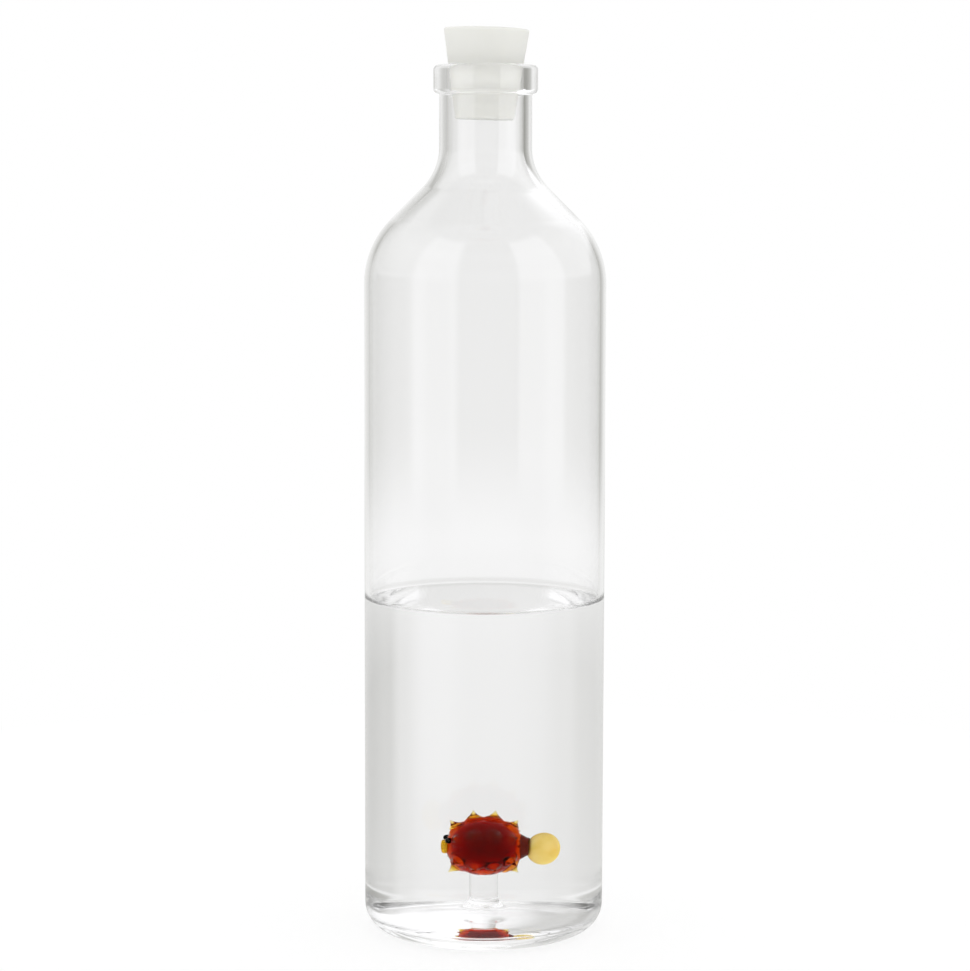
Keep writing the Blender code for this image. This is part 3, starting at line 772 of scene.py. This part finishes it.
print("ball across and root's length in mm:", round(2 * BALL_RADIUS / MM, 1), round(root_length / MM, 1))

# %% Mounds and points
MOUND_RADIUS = 2.7 * MM
MOUND_RISE = 1.7 * MM
MOUND_SLOPE_POWER = 1.5           # over 1, a mound's flank is hollow
MOUND_SINK = 1.2 * MM             # how deep its foot goes into the ball
MOUND_SEAT_SHARE = 0.99           # where it sits, as a share of the ball's radius
# The rise of each row's mounds, as shares of MOUND_RISE.
ROW_RISE = {"spine_face": 0.4, "spine_fore": 1.0, "spine_rear": 1.0, "spine_tail": 0.65}

POINT_BASE = 2.0 * MM
POINT_TIP = 0.28 * MM
POINT_HEIGHT = 2.9 * MM
POINT_POWER = 1.7                 # over 1, a point's flank is hollow
POINT_LEAN = 0.2
POINT_FOOT_SHARE = 0.5            # where a point starts, as a share of its mound's rise
FLANK_STEPS = 8                   # stretches along the flank of a mound or a point
FLANK_SIDES = 20

# Each mound and point gets sizes of its own: a share of the usual one, drawn from between these two.
WIDTH_SPREAD = (0.9, 1.15)
RISE_SPREAD = (0.8, 1.15)
BASE_SPREAD = (0.85, 1.15)
HEIGHT_SPREAD = (0.85, 1.05)
LEAN_SPREAD = (-1, 1)             # along each axis, times POINT_LEAN
SEED = 11

chance = random.Random(SEED)
points_form = bmesh.new()
spines = sorted(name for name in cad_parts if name.startswith("spine_"))
for name in spines:
    out = (node_middle(name) - BALL_CENTRE).normalized()
    width = MOUND_RADIUS * chance.uniform(*WIDTH_SPREAD)
    peak = MOUND_RISE * chance.uniform(*RISE_SPREAD) * ROW_RISE[name.rsplit("_", 1)[0]]
    mound_form = bmesh.new()
    tip = mound_form.verts.new((0, 0, peak))
    for step in range(1, FLANK_STEPS + 1):
        turned = QUARTER * step / FLANK_STEPS
        tip = line_to(mound_form, tip, width * math.sin(turned), peak * math.cos(turned) ** MOUND_SLOPE_POWER)
    tip = line_to(mound_form, tip, width, -MOUND_SINK)
    line_to(mound_form, tip, 0, -MOUND_SINK)
    seat = Matrix.Translation(BALL_CENTRE + out * BALL_RADIUS * MOUND_SEAT_SHARE)
    add_turned(fish_form, mound_form, FLANK_SIDES, seat @ turn_towards(out))

    lean_way = Vector([chance.uniform(*LEAN_SPREAD) for _ in range(3)])
    base = POINT_BASE * chance.uniform(*BASE_SPREAD)
    height = POINT_HEIGHT * chance.uniform(*HEIGHT_SPREAD)
    foot_height = peak * POINT_FOOT_SHARE
    point_form = bmesh.new()
    tip = point_form.verts.new((0, 0, height))
    for step in range(FLANK_STEPS + 1):
        share = step / FLANK_STEPS
        flank = POINT_TIP + (base - POINT_TIP) * share ** POINT_POWER
        tip = line_to(point_form, tip, flank, height + (foot_height - height) * share)
    line_to(point_form, tip, 0, foot_height)
    seat = Matrix.Translation(BALL_CENTRE + out * BALL_RADIUS)
    add_turned(points_form, point_form, FLANK_SIDES, seat @ turn_towards(out + lean_way * POINT_LEAN))
print("points pulled:", len(spines))

# %% Melting the mounds into the ball
VOXEL = 0.18 * MM
MELT_ROUNDS = 2
MELT_SOFTNESS = 0.5               # how far a vertex moves to the middle of its neighbours in each round

raw_mesh = bpy.data.meshes.new("fish_raw")
fish_form.to_mesh(raw_mesh)
fish_form.free()
raw_fish = bpy.data.objects.new("fish_raw", raw_mesh)
scene.collection.objects.link(raw_fish)
melt = raw_fish.modifiers.new("melt", "REMESH")
melt.mode = "VOXEL"
melt.voxel_size = VOXEL
depsgraph = bpy.context.evaluated_depsgraph_get()
melted = bpy.data.meshes.new_from_object(raw_fish.evaluated_get(depsgraph))
bpy.data.objects.remove(raw_fish)
melted_form = bmesh.new()
melted_form.from_mesh(melted)
bpy.data.meshes.remove(melted)
for _ in range(MELT_ROUNDS):
    bmesh.ops.smooth_vert(
        melted_form, verts=melted_form.verts, factor=MELT_SOFTNESS,
        use_axis_x=True, use_axis_y=True, use_axis_z=True,
    )
finish_form(melted_form, "cased_fish", [casing], "bottle", "red_glass", "fish_body")
finish_form(points_form, "golden_points", [golden], "bottle", "amber_glass", *spines)

# %% [markdown]
# Inside the casing sit the ruby core, and a short piece of garnet glass in the tail's root, so dark that no
# light comes through. Both are only seen through the casing's ripples, so a plain ball and a plain cone are
# enough.

# %% Ruby core
CORE_RADIUS = 7.7 * MM
CORE_SHIFT = Vector((0.3, 0, 0.6)) * MM

core_form = bmesh.new()
bmesh.ops.create_uvsphere(core_form, u_segments=BALL_SIDES, v_segments=BALL_SIDES // 2, radius=CORE_RADIUS)
bmesh.ops.translate(core_form, vec=BALL_CENTRE + CORE_SHIFT, verts=core_form.verts)
finish_form(core_form, "ruby_core", [ruby], "bottle", "red_glass", "fish_body")

# %% Garnet root
GARNET_RADIUS = 4.0 * MM
GARNET_END_RADIUS = 2.75 * MM
GARNET_LENGTH = 2.0 * MM
GARNET_COVER = 0.5 * MM           # how much casing lies over its end

garnet_form = bmesh.new()
bmesh.ops.create_cone(
    garnet_form, cap_ends=True, segments=BALL_SIDES, radius1=GARNET_RADIUS, radius2=GARNET_END_RADIUS,
    depth=GARNET_LENGTH,
)
garnet_middle = BALL_RADIUS + root_length - GARNET_COVER - GARNET_LENGTH / 2
garnet_place = to_tail @ Matrix.Translation((0, 0, garnet_middle))
bmesh.ops.transform(garnet_form, matrix=garnet_place, verts=garnet_form.verts)
finish_form(garnet_form, "garnet_root", [garnet], "bottle", "red_glass", "fish_body")

# %% [markdown]
# The tail fin is a flat pad of milky ivory glass, pressed while hot onto the root of the tail. The lips are a
# small pursed ring of amber, and the eyes are dots of black glass touched on. Hot glass pulls itself round,
# so a ball does for the fin, scaled to the pad's three sizes, and for each eye. The lips are a small circle,
# turned like the other profiles.

# %% Tail fin
FIN_SIDES = 48
FIN_HALF_LENGTH = 4.4 * MM

fin_form = bmesh.new()
bmesh.ops.create_uvsphere(fin_form, u_segments=FIN_SIDES, v_segments=FIN_SIDES // 2, radius=1)
fin_half_height = (fin_high.z - fin_low.z) / 2
fin_half_thick = (fin_high.y - fin_low.y) / 2
fin_middle = Vector((fin_high.x - FIN_HALF_LENGTH, 0, (fin_high.z + fin_low.z) / 2))
bmesh.ops.scale(fin_form, vec=(FIN_HALF_LENGTH, fin_half_thick, fin_half_height), verts=fin_form.verts)
bmesh.ops.translate(fin_form, vec=fin_middle, verts=fin_form.verts)
finish_form(fin_form, "ivory_tail_fin", [ivory], "bottle", "ivory_glass", "fish_tail_fin")

# %% Lips
MOUTH_RADIUS = 1.5 * MM
MOUTH_SIDES = 36
LIP_RADIUS = 0.85 * MM
LIP_STAND = 0.35 * MM             # how far the lips' round stands off the ball
LIP_SIDES = 20

mouth_form = bmesh.new()
bmesh.ops.create_circle(mouth_form, segments=LIP_SIDES, radius=LIP_RADIUS)
bmesh.ops.rotate(mouth_form, cent=(0, 0, 0), matrix=Matrix.Rotation(QUARTER, 3, "X"), verts=mouth_form.verts)
bmesh.ops.translate(mouth_form, vec=(MOUTH_RADIUS, 0, 0), verts=mouth_form.verts)
turn_profile(mouth_form, MOUTH_SIDES)
reach = math.sqrt((BALL_RADIUS + LIP_STAND) ** 2 - MOUTH_RADIUS ** 2)
to_nose = Matrix.Translation(BALL_CENTRE + Vector((-reach, 0, 0))) @ Matrix.Rotation(-QUARTER, 4, "Y")
bmesh.ops.transform(mouth_form, matrix=to_nose, verts=mouth_form.verts)
finish_form(mouth_form, "amber_lips", [amber], "bottle", "amber_glass", "fish_mouth")

# %% Eyes
EYE_RADIUS = 1.0 * MM
EYE_STAND = 0.2 * MM
EYE_SIDES = 24

for side in ("left", "right"):
    node = f"fish_{side}_eye"
    out = (node_middle(node) - BALL_CENTRE).normalized()
    eye_form = bmesh.new()
    bmesh.ops.create_uvsphere(eye_form, u_segments=EYE_SIDES, v_segments=EYE_SIDES // 2, radius=EYE_RADIUS)
    bmesh.ops.translate(eye_form, vec=BALL_CENTRE + out * (BALL_RADIUS + EYE_STAND), verts=eye_form.verts)
    finish_form(eye_form, f"black_{side}_eye", [jet], "bottle", "black_glass", node)

# %% [markdown]
# Light crosses many walls here: four skins of glass, the water's top and the fish. Each crossing is one
# bounce, and so is each time that light is mirrored inside the thick floor and wall, where it can be trapped
# for long. So the render needs far more bounces than usual before it may give up on a ray, or the floor's
# edges turn black. The view transform is Standard, which shows colours as they are written.

MOST_BOUNCES = 256
MOST_CLEAR_SKINS = 64
MOST_MIRRORINGS = 100             # light mirrored in the wall more often than this is taken as lost

scene.view_settings.view_transform = "Standard"
scene.cycles.max_bounces = MOST_BOUNCES
scene.cycles.transmission_bounces = MOST_BOUNCES
scene.cycles.glossy_bounces = MOST_MIRRORINGS
scene.cycles.transparent_max_bounces = MOST_CLEAR_SKINS
